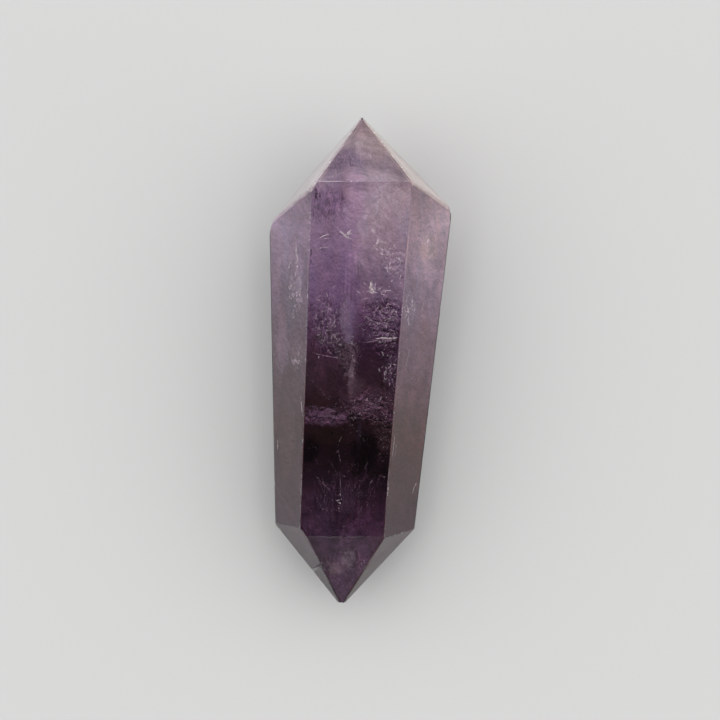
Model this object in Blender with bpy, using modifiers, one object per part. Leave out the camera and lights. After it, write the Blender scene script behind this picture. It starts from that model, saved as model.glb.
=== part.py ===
"""A double terminated amethyst crystal, ground and polished, lying on one of its six long faces.

Metres, +Z up. +Y runs along the crystal towards its wider end, and the widest long face looks up.
The origin is on the surface that the crystal lies on, under the middle of its box.
"""

import math

import bmesh
import bpy
from mathutils import Vector

MM = 0.001

# The crystal is cut in a frame of its own: Y along its axis, the origin halfway between its tips,
# and Z towards the long face that ends up on top.
WIDE_TIP = 40.0 * MM
NARROW_TIP = -40.7 * MM
WORN_NARROW_TIP = -40.0 * MM
ROUGH_BLOCK = 120.0 * MM
GRINDING_TOLERANCE = 0.0001 * MM

# The taper is how far the upper and the resting face each lean out towards the wide end, in degrees.
TAPER = 4.25

# A long face: the way it looks, in degrees round the axis from the upper face towards +X, how far it
# leans out towards the wide end, and its distance from the axis at mid length.
LONG_FACES = {
    "upper": (0.0, TAPER, 10.9 * MM),
    "upper_right": (61.5, 4.0, 11.85 * MM),
    "lower_right": (120.5, 3.5, 11.8 * MM),
    "resting": (180.0, TAPER, 10.6 * MM),
    "lower_left": (-120.5, 4.25, 11.85 * MM),
    "upper_left": (-64.0, 2.25, 11.45 * MM),
}

# A point facet: the way it looks round the axis, and the rise of its normal towards its tip. The six
# facets of a point all pass through its tip.
WIDE_POINT = {
    "upper": (-3.0, 48.5),
    "right": (76.0, 46.0),
    "lower_right": (124.0, 43.0),
    "lower": (180.0, 47.0),
    "lower_left": (-127.0, 42.0),
    "left": (-79.0, 38.0),
}
NARROW_POINT = {
    "upper": (1.5, 36.0),
    "right": (66.0, 38.0),
    "lower_right": (121.0, 37.0),
    "lower": (180.0, 37.0),
    "lower_left": (-122.0, 36.5),
    "left": (-64.0, 38.0),
}

# Each shoulder is ground round in three narrow facets: the way they all look, and the rise of each with
# its distance from the origin.
SHOULDERS = {
    "left": (-93.0, ((9.4, 17.6 * MM), (24.0, 21.75 * MM), (34.5, 24.1 * MM))),
    "right": (95.5, ((8.5, 18.7 * MM), (21.0, 23.05 * MM), (44.0, 28.55 * MM))),
}

EDGE_SOFTENING = 0.16 * MM
SOFTENING_SEGMENTS = 2
EDGE_ANGLE = math.radians(12.0)

# A chip is a shell-like scallop on an edge: the two facets that share the edge, how far along the
# crystal it is, its width, and its depth.
CHIPS = (
    ("narrow left", "narrow upper", -34.2 * MM, 1.1 * MM, 0.22 * MM),
    ("narrow left", "narrow upper", -33.5 * MM, 0.7 * MM, 0.16 * MM),
    ("narrow upper", "narrow right", -33.9 * MM, 1.0 * MM, 0.22 * MM),
    ("narrow upper", "narrow right", -33.0 * MM, 0.6 * MM, 0.14 * MM),
    ("long upper", "long upper_left", -2.6 * MM, 0.6 * MM, 0.12 * MM),
    ("long upper", "long upper_right", -17.5 * MM, 0.7 * MM, 0.14 * MM),
    ("long upper_right", "long lower_right", 9.3 * MM, 0.8 * MM, 0.18 * MM),
    ("long lower_left", "long upper_left", -21.0 * MM, 0.7 * MM, 0.15 * MM),
    ("narrow lower_left", "narrow left", -35.0 * MM, 0.9 * MM, 0.2 * MM),
    ("wide lower", "wide lower_right", 35.5 * MM, 0.8 * MM, 0.18 * MM),
)
CHIP_SMOOTHNESS = 3

AMETHYST_VIOLET = (0.30, 0.16, 0.34)
POLISH_ROUGHNESS = 0.04
QUARTZ_IOR = 1.544


def normal_of(azimuth, rise):
    """The outward normal of a facet that looks to azimuth round the axis and rises towards +Y, in degrees."""
    azimuth, rise = math.radians(azimuth), math.radians(rise)
    return Vector((math.sin(azimuth) * math.cos(rise), math.sin(rise), math.cos(azimuth) * math.cos(rise)))


def all_facets():
    """Each facet's name with its outward normal and its distance from the origin of the axis frame."""
    facets = {}
    for name, (azimuth, lean, distance) in LONG_FACES.items():
        facets["long " + name] = (normal_of(azimuth, -lean), distance * math.cos(math.radians(lean)))
    for name, (azimuth, rise) in WIDE_POINT.items():
        facets["wide " + name] = (normal_of(azimuth, rise), WIDE_TIP * math.sin(math.radians(rise)))
    for name, (azimuth, rise) in NARROW_POINT.items():
        facets["narrow " + name] = (normal_of(azimuth, -rise), -NARROW_TIP * math.sin(math.radians(rise)))
    for name, (azimuth, rounds) in SHOULDERS.items():
        for rise, distance in rounds:
            facets[f"shoulder {name} {rise}"] = (normal_of(azimuth, rise), distance)
    facets["worn tip"] = (Vector((0.0, -1.0, 0.0)), -WORN_NARROW_TIP)
    return facets


def grind(stone, normal, distance):
    """Grinds one flat facet: what lies beyond its plane goes, and the cut is closed."""
    geometry = stone.verts[:] + stone.edges[:] + stone.faces[:]
    cut = bmesh.ops.bisect_plane(
        stone,
        geom=geometry,
        dist=GRINDING_TOLERANCE,
        plane_co=normal * distance,
        plane_no=normal,
        clear_outer=True,
    )
    rim = [edge for edge in cut["geom_cut"] if isinstance(edge, bmesh.types.BMEdge)]
    bmesh.ops.edgeloop_fill(stone, edges=rim)


def amethyst():
    material = bpy.data.materials.new("amethyst")
    material.use_nodes = True
    shader = material.node_tree.nodes["Principled BSDF"]
    shader.inputs["Base Color"].default_value = (*AMETHYST_VIOLET, 1.0)
    shader.inputs["Roughness"].default_value = POLISH_ROUGHNESS
    shader.inputs["Metallic"].default_value = 0.0
    shader.inputs["IOR"].default_value = QUARTZ_IOR
    shader.inputs["Transmission Weight"].default_value = 1.0
    return material


def cut_crystal(collection, facets):
    """The stone: a block ground flat on every facet in turn, its edges then softened by polishing."""
    stone = bmesh.new()
    bmesh.ops.create_cube(stone, size=ROUGH_BLOCK)
    for normal, distance in facets.values():
        grind(stone, normal, distance)
    bmesh.ops.recalc_face_normals(stone, faces=stone.faces[:])
    mesh = bpy.data.meshes.new("crystal")
    stone.to_mesh(mesh)
    stone.free()
    mesh.materials.append(amethyst())
    crystal = bpy.data.objects.new("crystal", mesh)
    collection.objects.link(crystal)
    softening = crystal.modifiers.new("softened edges", "BEVEL")
    softening.width = EDGE_SOFTENING
    softening.segments = SOFTENING_SEGMENTS
    softening.limit_method = "ANGLE"
    softening.angle_limit = EDGE_ANGLE
    return crystal


def point_on_edge(first, second, along):
    """The point of the edge between two facets that is so far along the crystal, and the way out of it."""
    (normal_1, distance_1), (normal_2, distance_2) = first, second
    right_1 = distance_1 - normal_1.y * along
    right_2 = distance_2 - normal_2.y * along
    turn = normal_1.x * normal_2.z - normal_1.z * normal_2.x
    across = (right_1 * normal_2.z - right_2 * normal_1.z) / turn
    up = (normal_1.x * right_2 - normal_2.x * right_1) / turn
    return Vector((across, along, up)), (normal_1 + normal_2).normalized()


def chip_cutters(collection, facets):
    """A ball for each chip, so far out from its edge that it leaves a scallop of that width and depth."""
    for number, (first, second, along, width, depth) in enumerate(CHIPS, 1):
        point, outward = point_on_edge(facets[first], facets[second], along)
        radius = (width * width / 4 + depth * depth) / (2 * depth)
        ball = bmesh.new()
        bmesh.ops.create_icosphere(ball, subdivisions=CHIP_SMOOTHNESS, radius=radius)
        mesh = bpy.data.meshes.new(f"chip_{number}")
        ball.to_mesh(mesh)
        ball.free()
        cutter = bpy.data.objects.new(f"chip_{number}", mesh)
        cutter.location = point + outward * (radius - depth)
        cutter.hide_render = True
        cutter.display_type = "WIRE"
        collection.objects.link(cutter)


def set_down(crystal, chips):
    """Lays the crystal on its resting face, and puts the origin under the middle of its box."""
    holder = bpy.data.objects.new("crystal_axis", None)
    crystal.users_collection[0].objects.link(holder)
    holder.rotation_euler.x = math.radians(TAPER)
    for piece in [crystal, *chips.objects]:
        piece.parent = holder
    bpy.context.view_layer.update()
    finished = crystal.evaluated_get(bpy.context.evaluated_depsgraph_get())
    points = [finished.matrix_world @ vertex.co for vertex in finished.to_mesh().vertices]
    for axis in (0, 1):
        reach = [point[axis] for point in points]
        holder.location[axis] = -(min(reach) + max(reach)) / 2
    holder.location.z = -min(point.z for point in points)


def main():
    for old in list(bpy.data.objects):
        bpy.data.objects.remove(old)
    scene = bpy.context.scene
    parts = bpy.data.collections.new("double_terminated_amethyst")
    chips = bpy.data.collections.new("chip_cutters")
    scene.collection.children.link(parts)
    scene.collection.children.link(chips)
    facets = all_facets()
    crystal = cut_crystal(parts, facets)
    chip_cutters(chips, facets)
    chipping = crystal.modifiers.new("chipped edges", "BOOLEAN")
    chipping.operation = "DIFFERENCE"
    chipping.operand_type = "COLLECTION"
    chipping.collection = chips
    chipping.solver = "EXACT"
    set_down(crystal, chips)


main()
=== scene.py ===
import math

import bmesh
import bpy
import numpy as np
from mathutils import Matrix, Vector


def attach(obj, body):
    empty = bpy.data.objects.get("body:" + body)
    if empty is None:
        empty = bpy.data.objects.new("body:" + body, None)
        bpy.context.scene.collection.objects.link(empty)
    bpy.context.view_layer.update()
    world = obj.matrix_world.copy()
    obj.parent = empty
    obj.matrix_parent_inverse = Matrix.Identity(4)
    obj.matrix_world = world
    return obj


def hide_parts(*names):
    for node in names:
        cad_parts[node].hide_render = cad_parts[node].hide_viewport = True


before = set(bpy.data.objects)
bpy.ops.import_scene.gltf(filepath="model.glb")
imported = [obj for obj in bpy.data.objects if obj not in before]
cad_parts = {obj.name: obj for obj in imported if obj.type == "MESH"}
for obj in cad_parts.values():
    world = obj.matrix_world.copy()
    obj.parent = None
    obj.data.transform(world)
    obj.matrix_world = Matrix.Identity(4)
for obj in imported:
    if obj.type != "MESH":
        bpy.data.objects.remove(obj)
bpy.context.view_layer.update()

MM = 0.001

# The crystal: one amethyst, ground flat on every facet and polished. The mesh is the solid's own, merged, and
# the finish is clear quartz, a little deeper in tint towards the narrow point, with white frost on its ground
# edges that is partly wear and partly a painted highlight along them.
TAPER = math.radians(4.25)
AXIS_MIDDLE = Vector((-0.47, 0.06, 10.57)) * MM
AXIS_FRAME = Matrix.Translation(AXIS_MIDDLE) @ Matrix.Rotation(TAPER, 4, "X")
HALF_LENGTH = 40.0
MERGE_DISTANCE = 0.001 * MM
LEAST_FACET_AREA = 8.0
EDGE_TURN = math.radians(2.0)
QUARTZ_IOR = 1.544
POINT_TINT = (0.98, 0.94, 0.965)
BODY_TINT = (0.9, 0.82, 0.87)
FOOT_TINT = (0.84, 0.76, 0.8)
FROST_AND_EDGE_HIGHLIGHT = (0.93, 0.86, 0.9)
FROST_ROUGHNESS = 0.3
FROST_AND_HIGHLIGHT_COVER = 0.08
BRUISE_AND_HIGHLIGHT_COVER = 0.1
ABSORBED = (0.62, 0.4, 0.6, 1.0)
ABSORPTION_DENSITY = 14.0

# Within a bruise, a ground edge is all white with frost, partly wear and partly a painted highlight on the
# edge lines it covers: its place across and along the crystal, half its width and half its height, in
# millimetres.
BRUISES_AND_HIGHLIGHTS = ((-5.0, 28.9, 4.8, 1.2), (0.0, 39.8, 0.6, 0.5))


def new_piece(name, mesh, material):
    """Puts a mesh in the scene as a piece of that name and material."""
    mesh.materials.clear()
    mesh.materials.append(material)
    piece = bpy.data.objects.new(name, mesh)
    bpy.context.scene.collection.objects.link(piece)
    return piece


def new_material(name):
    """A new material, with its node tree and its Principled shader."""
    material = bpy.data.materials.new(name)
    material.use_nodes = True
    return material, material.node_tree, material.node_tree.nodes["Principled BSDF"]


def node(tree, kind, values=None, **settings):
    """Adds a node, sets its properties, and fills or links its inputs by name or number."""
    made = tree.nodes.new("ShaderNode" + kind)
    for key, value in settings.items():
        setattr(made, key, value)
    for key, value in (values or {}).items():
        if isinstance(value, bpy.types.NodeSocket):
            tree.links.new(value, made.inputs[key])
        elif isinstance(value, tuple) and len(value) == 3 and made.inputs[key].type == "RGBA":
            made.inputs[key].default_value = (*value, 1.0)
        else:
            made.inputs[key].default_value = value
    return made


def ramp(tree, factor, stops):
    """A colour ramp from (position, colour) stops; a colour may be a plain grey number."""
    made = node(tree, "ValToRGB", {"Fac": factor})
    while len(made.color_ramp.elements) < len(stops):
        made.color_ramp.elements.new(0.5)
    for element, (position, colour) in zip(made.color_ramp.elements, stops):
        element.position = position
        element.color = (colour, colour, colour, 1.0) if isinstance(colour, (int, float)) else (*colour, 1.0)
    return made.outputs["Color"]


def calc(tree, operation, first, second):
    """One step of arithmetic on two numbers."""
    return node(tree, "Math", {0: first, 1: second}, operation=operation).outputs[0]


def rise(tree, value, low, high):
    """A smooth step from 0 at low to 1 at high, which may be the lower of the two."""
    values = {"Value": value, "From Min": low, "From Max": high}
    return node(tree, "MapRange", values, interpolation_type="SMOOTHSTEP").outputs["Result"]


def mix(tree, factor, first, second, blend="MIX"):
    """Blends two colours."""
    made = node(tree, "Mix", {0: factor, 6: first, 7: second}, data_type="RGBA", blend_type=blend)
    return made.outputs[2]


def stone_place(tree):
    """Object coordinates as millimetres of the crystal's frame: X across, Y along, Z out of the top face."""
    values = {
        "Vector": node(tree, "TexCoord").outputs["Object"],
        "Location": AXIS_MIDDLE,
        "Rotation": (TAPER, 0.0, 0.0),
        "Scale": (MM, MM, MM),
    }
    return node(tree, "Mapping", values, vector_type="TEXTURE").outputs["Vector"]


def noise(tree, place, size, detail, roughness=0.55, distortion=0.0, stretch=(1.0, 1.0, 1.0)):
    """Noise whose features are about size across, and longer along an axis whose stretch is under 1."""
    scaled = node(tree, "VectorMath", {0: place, 1: stretch}, operation="MULTIPLY").outputs[0]
    values = {
        "Vector": scaled,
        "Scale": 1 / size,
        "Detail": detail,
        "Roughness": roughness,
        "Distortion": distortion,
    }
    return node(tree, "TexNoise", values).outputs["Fac"]


def height_of(tree, place, drift=None):
    """How high a place is, 0 at the narrow tip and 1 at the wide one, shifted by drift millimetres."""
    height = node(tree, "SeparateXYZ", {"Vector": place}).outputs["Y"]
    if drift is not None:
        height = calc(tree, "ADD", height, drift)
    values = {"Value": height, "From Min": -HALF_LENGTH, "From Max": HALF_LENGTH}
    return node(tree, "MapRange", values).outputs["Result"]


def spot(tree, place, x, y, half_width, half_height, ragged):
    """A soft oval seen through the top face, 1 inside and 0 outside. ragged is how far noise eats into its
    rim, and the noise is finer on a smaller oval."""
    off = node(tree, "VectorMath", {0: place, 1: (x, y, 0.0)}, operation="SUBTRACT").outputs[0]
    flat = node(tree, "VectorMath", {0: off, 1: (1 / half_width, 1 / half_height, 0.0)}, operation="MULTIPLY")
    far = node(tree, "VectorMath", {0: flat.outputs[0]}, operation="LENGTH").outputs["Value"]
    tear = 0.8 * min(half_width, half_height) + 0.4
    eaten = calc(tree, "MULTIPLY", noise(tree, place, tear, detail=6, roughness=0.7, distortion=0.4), ragged)
    return rise(tree, calc(tree, "ADD", far, eaten), 1.05 + ragged / 2, 0.5 + ragged / 2)


def polished_amethyst():
    """Clear quartz, with white frost in patches along its ground edges, partly wear and partly a painted
    highlight, and with faint wheel marks and smudges.
    """
    material, tree, shader = new_material("polished_amethyst")
    place = stone_place(tree)
    edge = node(tree, "Attribute", attribute_name="ground_edge").outputs["Fac"]
    # The white frost on the ground edges is partly wear and partly a painted highlight along them.
    worn_and_highlighted = ramp(tree, noise(tree, place, 2.2, detail=6, roughness=0.7), ((0.48, 0.05), (0.62, 1.0)))
    bruised_and_highlighted = calc(tree, "MAXIMUM", *(spot(tree, place, *oval, ragged=0.2) for oval in BRUISES_AND_HIGHLIGHTS))
    frosted_and_highlighted = calc(tree, "MULTIPLY", edge, calc(tree, "MAXIMUM", worn_and_highlighted, bruised_and_highlighted))
    tint = ramp(tree, height_of(tree, place), ((0.1, FOOT_TINT), (0.5, BODY_TINT), (0.8, POINT_TINT)))
    tree.links.new(mix(tree, frosted_and_highlighted, tint, FROST_AND_EDGE_HIGHLIGHT), shader.inputs["Base Color"])
    marks = noise(tree, place, 0.5, detail=3, stretch=(1.0, 0.08, 1.0))
    smudges = noise(tree, place, 7.0, detail=5, roughness=0.7, distortion=0.6)
    marks = ramp(tree, marks, ((0.4, 0.012), (0.8, 0.018)))
    polish = calc(tree, "ADD", marks, ramp(tree, smudges, ((0.45, 0.0), (0.75, 0.012))))
    rough = calc(tree, "ADD", polish, calc(tree, "MULTIPLY", frosted_and_highlighted, FROST_ROUGHNESS))
    tree.links.new(rough, shader.inputs["Roughness"])
    cover = calc(tree, "ADD", calc(tree, "MULTIPLY", bruised_and_highlighted, BRUISE_AND_HIGHLIGHT_COVER), FROST_AND_HIGHLIGHT_COVER)
    opaque = calc(tree, "MULTIPLY", frosted_and_highlighted, cover)
    tree.links.new(calc(tree, "SUBTRACT", 1.0, opaque), shader.inputs["Transmission Weight"])
    shader.inputs["IOR"].default_value = QUARTZ_IOR
    absorption = node(tree, "VolumeAbsorption", {"Color": ABSORBED, "Density": ABSORPTION_DENSITY})
    tree.links.new(absorption.outputs["Volume"], tree.nodes["Material Output"].inputs["Volume"])
    return material


def facet_planes(mesh):
    """The planes of the large flat facets in the crystal's own frame, in millimetres: a unit normal and a
    distance in each row. Triangles whose rounded planes agree are counted together."""
    inward = AXIS_FRAME.inverted()
    areas = {}
    for face in mesh.polygons:
        normal = inward.to_3x3() @ face.normal
        distance = normal @ (inward @ face.center) / MM
        key = (*(round(value, 2) for value in normal), round(distance, 1))
        area, plane = areas.get(key, (0.0, None))
        areas[key] = (area + face.area / MM**2, plane or (*normal, distance))
    return np.array([plane for area, plane in areas.values() if area > LEAST_FACET_AREA])


merged = bmesh.new()
merged.from_mesh(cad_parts["crystal"].data)
bmesh.ops.remove_doubles(merged, verts=merged.verts[:], dist=MERGE_DISTANCE)
polished = bpy.data.meshes.new("polished_crystal")
merged.to_mesh(polished)
merged.free()
polished.shade_smooth()
FACETS = facet_planes(polished)
normals = np.zeros(len(polished.polygons) * 3)
polished.polygons.foreach_get("normal", normals)
facing = normals.reshape(-1, 3) @ np.array(AXIS_FRAME.to_3x3()) @ FACETS[:, :3].T
ground = (facing.max(axis=1) < math.cos(EDGE_TURN)).astype(float)
polished.attributes.new("ground_edge", "FLOAT", "FACE").data.foreach_set("value", ground)
crystal = new_piece("polished_crystal", polished, polished_amethyst())
flatness = crystal.modifiers.new("flat facets", "WEIGHTED_NORMAL")
flatness.keep_sharp = True
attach(crystal, "root")
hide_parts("crystal")

# Cloudy sectors: amethyst grows in sectors that meet along its axis, and the boundaries between them are
# clouded. Each is a thin, wavy film right through the stone that carries its colour zones.
SKIN = 0.3
LEAST_COVER = 0.9 * SKIN
LEAST_SLOPE = 1e-6
FILM_GRID = (240, 87)
FILM_ENDS = (-39.6, 39.7)
FILM_GAP = 1.2 * SKIN
LEAST_ROOM = 0.02
FILM_BEND = 0.25
FULL_RISE_WIDTH = 24.0
FULL_WAVE_WIDTH = 8.0
FAN = 20.0
FAN_WAYS = 81
SMOOTHED_HEIGHTS = 13
# The least that the painted shade on a fold leaves of the colour under it.
DARKEST_PAINTED_FOLD_SHADE = 0.12
RAGGED = 1.8

# A wave of the films is its height, its turns along and across in radians a millimetre, and how many times
# the film's phase shifts it.
FILM_WAVES = ((0.5, 0.21, 0.17, 1), (0.3, -0.1, 0.45, 2), (0.25, 0.53, 0.31, 3))

# A zone is a height along the crystal and the cloud's colour there, which blends into the next zone's.
LEFT_ZONES = (
    (-38.0, (0.16, 0.09, 0.15)),
    (-26.0, (0.07, 0.036, 0.062)),
    (-19.0, (0.026, 0.011, 0.021)),
    (-15.0, (0.015, 0.005, 0.009)),
    (-7.5, (0.04, 0.017, 0.022)),
    (-0.6, (0.08, 0.042, 0.06)),
    (1.2, (0.085, 0.04, 0.07)),
    (5.0, (0.15, 0.082, 0.15)),
    (11.0, (0.3, 0.2, 0.33)),
    (18.0, (0.39, 0.285, 0.41)),
    (27.5, (0.54, 0.42, 0.52)),
    (30.0, (0.32, 0.235, 0.32)),
    (35.5, (0.54, 0.43, 0.46)),
    (39.0, (0.26, 0.18, 0.22)),
)
RIGHT_ZONES = (
    (-38.0, (0.16, 0.09, 0.15)),
    (-26.0, (0.08, 0.036, 0.066)),
    (-18.0, (0.012, 0.004, 0.008)),
    (-9.5, (0.03, 0.012, 0.018)),
    (-3.0, (0.056, 0.026, 0.04)),
    (2.5, (0.06, 0.024, 0.055)),
    (8.5, (0.19, 0.11, 0.2)),
    (10.5, (0.36, 0.26, 0.36)),
    (17.0, (0.43, 0.34, 0.41)),
    (27.5, (0.62, 0.51, 0.55)),
    (30.0, (0.34, 0.265, 0.31)),
    (35.5, (0.54, 0.43, 0.44)),
    (39.0, (0.26, 0.18, 0.21)),
)
LEFT_SIDE_ZONES = (
    (-38.0, (0.05, 0.018, 0.045)),
    (-26.0, (0.105, 0.04, 0.075)),
    (-12.0, (0.135, 0.055, 0.06)),
    (0.0, (0.21, 0.13, 0.165)),
    (12.0, (0.34, 0.24, 0.34)),
    (24.0, (0.64, 0.5, 0.66)),
    (38.0, (0.7, 0.58, 0.66)),
)
RIGHT_SIDE_ZONES = (
    (-38.0, (0.1, 0.04, 0.035)),
    (-26.0, (0.09, 0.022, 0.042)),
    (-12.0, (0.16, 0.055, 0.05)),
    (0.0, (0.31, 0.19, 0.24)),
    (12.0, (0.52, 0.39, 0.5)),
    (24.0, (0.86, 0.7, 0.76)),
    (38.0, (0.8, 0.66, 0.68)),
)

# A mark is a patch of its own tone: its place across and along the crystal, half its width, half its height
# and the tone.
MARK_COVER = 0.85
MARKS = (
    (-2.8, 31.6, 3.6, 2.6, (0.3, 0.2, 0.31)),
    (-5.2, 25.4, 4.6, 3.0, (0.34, 0.24, 0.36)),
    (-0.9, 7.2, 1.2, 5.2, (0.27, 0.19, 0.31)),
    (-0.7, 1.0, 2.0, 2.6, (0.13, 0.09, 0.11)),
    (0.1, -2.8, 0.6, 3.8, (0.27, 0.21, 0.22)),
    (1.0, -4.4, 1.6, 2.2, (0.11, 0.07, 0.085)),
    (2.4, 5.6, 1.4, 1.9, (0.07, 0.03, 0.07)),
    (4.2, 8.9, 3.2, 0.9, (0.085, 0.038, 0.085)),
    (6.4, -1.4, 1.5, 4.0, (0.1, 0.06, 0.1)),
    (-4.2, -9.3, 5.6, 1.6, (0.125, 0.065, 0.11)),
    (3.0, -6.4, 5.0, 2.8, (0.105, 0.055, 0.08)),
    (0.7, -9.2, 1.3, 0.9, (0.004, 0.001, 0.002)),
    (6.0, -9.2, 1.6, 1.3, (0.12, 0.06, 0.11)),
    (-3.6, -12.4, 3.8, 1.7, (0.028, 0.012, 0.011)),
    (1.7, -12.2, 0.5, 2.8, (0.05, 0.03, 0.055)),
    (5.8, -11.4, 2.0, 3.4, (0.045, 0.026, 0.03)),
    (-6.3, -14.6, 2.2, 2.8, (0.003, 0.0, 0.002)),
    (2.8, -14.9, 2.8, 3.8, (0.003, 0.0, 0.002)),
    (0.8, -31.8, 1.5, 1.9, (0.28, 0.22, 0.26)),
    (-1.2, -33.6, 1.8, 1.4, (0.24, 0.17, 0.2)),
)
SIDE_MARKS = (
    (-8.2, 22.6, 3.0, 4.4, (0.56, 0.45, 0.6)),
    (-7.0, 9.6, 2.2, 6.4, (0.26, 0.21, 0.3)),
    (-4.0, 13.6, 1.4, 5.0, (0.6, 0.46, 0.62)),
    (-9.6, 2.0, 2.6, 5.0, (0.36, 0.25, 0.33)),
    (8.6, 19.0, 3.6, 2.6, (0.86, 0.68, 0.66)),
    (5.0, 9.8, 2.0, 4.4, (0.42, 0.34, 0.44)),
    (9.4, 2.4, 2.6, 6.0, (0.4, 0.26, 0.3)),
    (-8.0, -14.0, 2.4, 7.0, (0.16, 0.07, 0.08)),
    (7.0, -20.0, 2.2, 7.0, (0.13, 0.038, 0.055)),
)

# A patch is where the cloud is streaky, or crumpled with painted light and shade on its folds: its place,
# half its width, half its height and, where several share a pattern, how strong it is.
STRIATED = (-0.7, 14.4, 1.7, 6.0)
WAVY_FOLD_LIGHT_PATCHES = (
    (5.2, 5.8, 4.8, 5.6, 1.0),
    (6.0, 15.6, 3.4, 3.6, 0.3),
    (-4.2, -9.3, 5.6, 1.9, 0.9),
    (3.0, -6.8, 4.6, 3.0, 1.0),
    (5.4, -10.5, 2.6, 4.0, 1.0),
)
FEATHERY_FOLD_LIGHT_PATCHES = (
    (-2.6, 31.0, 4.0, 2.4, 0.4),
    (-4.6, 5.4, 4.4, 5.8, 1.0),
    (-5.0, 25.0, 4.2, 3.6, 0.5),
    (-0.6, 0.6, 2.4, 4.6, 1.0),
    (6.2, -1.6, 1.8, 4.6, 1.0),
    (0.0, -33.0, 5.0, 5.0, 0.5),
)
SMOKY_PATCHES = (
    (0.0, -26.0, 9.0, 9.0, 1.0),
    (0.0, -34.0, 6.0, 5.0, 0.8),
    (-3.0, -2.0, 6.0, 5.0, 0.6),
    (0.0, 22.0, 9.0, 9.0, 0.25),
)
SMOKE_TONES = ((0.34, (0.5, 0.46, 0.56)), (0.5, (0.95, 0.92, 0.98)), (0.66, (1.6, 1.5, 1.75)))


def reach(starts, ways):
    """How far each start is from the crystal's surface in its direction, in millimetres."""
    ahead = ways @ FACETS[:, :3].T
    room = FACETS[:, 3] - starts @ FACETS[:, :3].T
    return np.where(ahead > LEAST_SLOPE, room / np.maximum(ahead, LEAST_SLOPE), np.inf).min(axis=-1)


def grid_faces(rows, columns):
    """The corners of each quad of a rows by columns grid of points."""
    row = np.arange(rows - 1)[:, None] * columns
    corner = (row + np.arange(columns - 1)[None]).ravel()
    return np.stack([corner, corner + 1, corner + columns + 1, corner + columns], 1)


def grid_uv(rows, columns):
    """The place of each point of a grid in it, from 0 to 1 both ways."""
    u, v = np.meshgrid(np.linspace(0, 1, rows), np.linspace(0, 1, columns), indexing="ij")
    return np.stack([u.ravel(), v.ravel()], 1)


def grown_inside(name, points, faces, uv, material):
    """Adds a piece inside the stone, from points in millimetres of the crystal's own frame. Faces that the
    stone would cover too thinly are left out."""
    buried = (points @ FACETS[:, :3].T < FACETS[:, 3] - LEAST_COVER).all(axis=1)
    kept = faces[buried[faces].all(axis=1)]
    used, order = np.unique(kept, return_inverse=True)
    turned = points[used] @ np.array(AXIS_FRAME.to_3x3()).T * MM + np.array(AXIS_FRAME.translation)
    mesh = bpy.data.meshes.new(name)
    mesh.from_pydata(turned.tolist(), [], order.reshape(kept.shape).tolist())
    mesh.uv_layers.new(name="grid").data.foreach_set("uv", uv[kept.ravel()].ravel())
    mesh.shade_smooth()
    piece = new_piece(name, mesh, material)
    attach(piece, "root")


def edge_ways(azimuth, heights):
    """The way from the axis to the edge nearest to azimuth at each height: where the surface is farthest in a
    fan to both sides of it, smoothed along the heights by a running mean."""
    fan = np.radians(azimuth + np.linspace(-FAN, FAN, FAN_WAYS))
    ways = np.stack([np.sin(fan), 0 * fan, np.cos(fan)], 1)
    starts = np.stack([0 * heights, heights, 0 * heights], 1)
    farthest = fan[reach(starts[:, None], ways[None]).argmax(axis=1)]
    share = np.ones(SMOOTHED_HEIGHTS) / SMOOTHED_HEIGHTS
    smooth = np.convolve(np.pad(farthest, SMOOTHED_HEIGHTS // 2, "edge"), share, "valid")
    return np.stack([np.sin(smooth), 0 * smooth, np.cos(smooth)], 1)


def sector_film(name, azimuth, rise_off, phase, material):
    """A film from one edge of the stone to the matching edge on the other side, past a point rise_off above
    the axis. It is rounded there, and slow sine waves push it off its plane, by nothing at the edges.
    Where the stone is narrow, the rise and the waves shrink with it."""
    rows, columns = FILM_GRID
    heights = np.linspace(*FILM_ENDS, rows)
    axis = np.stack([0 * heights, heights, 0 * heights], 1)
    share = np.linspace(-1, 1, columns)[None]
    out = [edge_ways(way, heights) for way in (-azimuth, azimuth)]
    room = [np.maximum(reach(axis[:, None], way[:, None]) - FILM_GAP, LEAST_ROOM) for way in out]
    left, right = (axis + way * far for way, far in zip(out, room))
    start = axis + rise_off * np.minimum((room[0] + room[1]) / FULL_RISE_WIDTH, 1) * np.array([0.0, 0.0, 1.0])
    edge = np.where(share[..., None] < 0, left[:, None], right[:, None])
    rounded = (np.sqrt(share**2 + FILM_BEND**2) - FILM_BEND) / (np.sqrt(1 + FILM_BEND**2) - FILM_BEND)
    far = np.stack([np.abs(share), np.abs(share), rounded], -1)
    side = share * room[1]
    y = heights[:, None]
    wave = 0.0
    for high, along, across, turns in FILM_WAVES:
        wave = wave + high * np.sin(y * along + side * across + turns * phase)
    wave = wave * (1 - share**2) * np.minimum(room[1] / FULL_WAVE_WIDTH, 1)
    points = start[:, None] + far * (edge - start[:, None]) + wave[..., None] * np.array([0.0, 0.0, 1.0])
    grown_inside(name, points.reshape(-1, 3), grid_faces(rows, columns), grid_uv(rows, columns), material)


def painted_fold_light(tree, place, size, light, gain, **pattern):
    """Painted light and shade of folds lit from one side: 1 on the level, more on one flank of a fold and
    less on the other. It is the difference between a noise and the same noise a small step further on."""
    moved = node(tree, "VectorMath", {0: place, 1: light}, operation="ADD").outputs[0]
    slope = calc(tree, "SUBTRACT", noise(tree, place, size, **pattern), noise(tree, moved, size, **pattern))
    return calc(tree, "MAXIMUM", calc(tree, "ADD", calc(tree, "MULTIPLY", slope, gain), 1.0), DARKEST_PAINTED_FOLD_SHADE)


def zone_ramp(tree, height, zones):
    """The colour of the nearest zones at a height."""
    return ramp(tree, height, [((y + HALF_LENGTH) / (2 * HALF_LENGTH), colour) for y, colour in zones])


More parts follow.
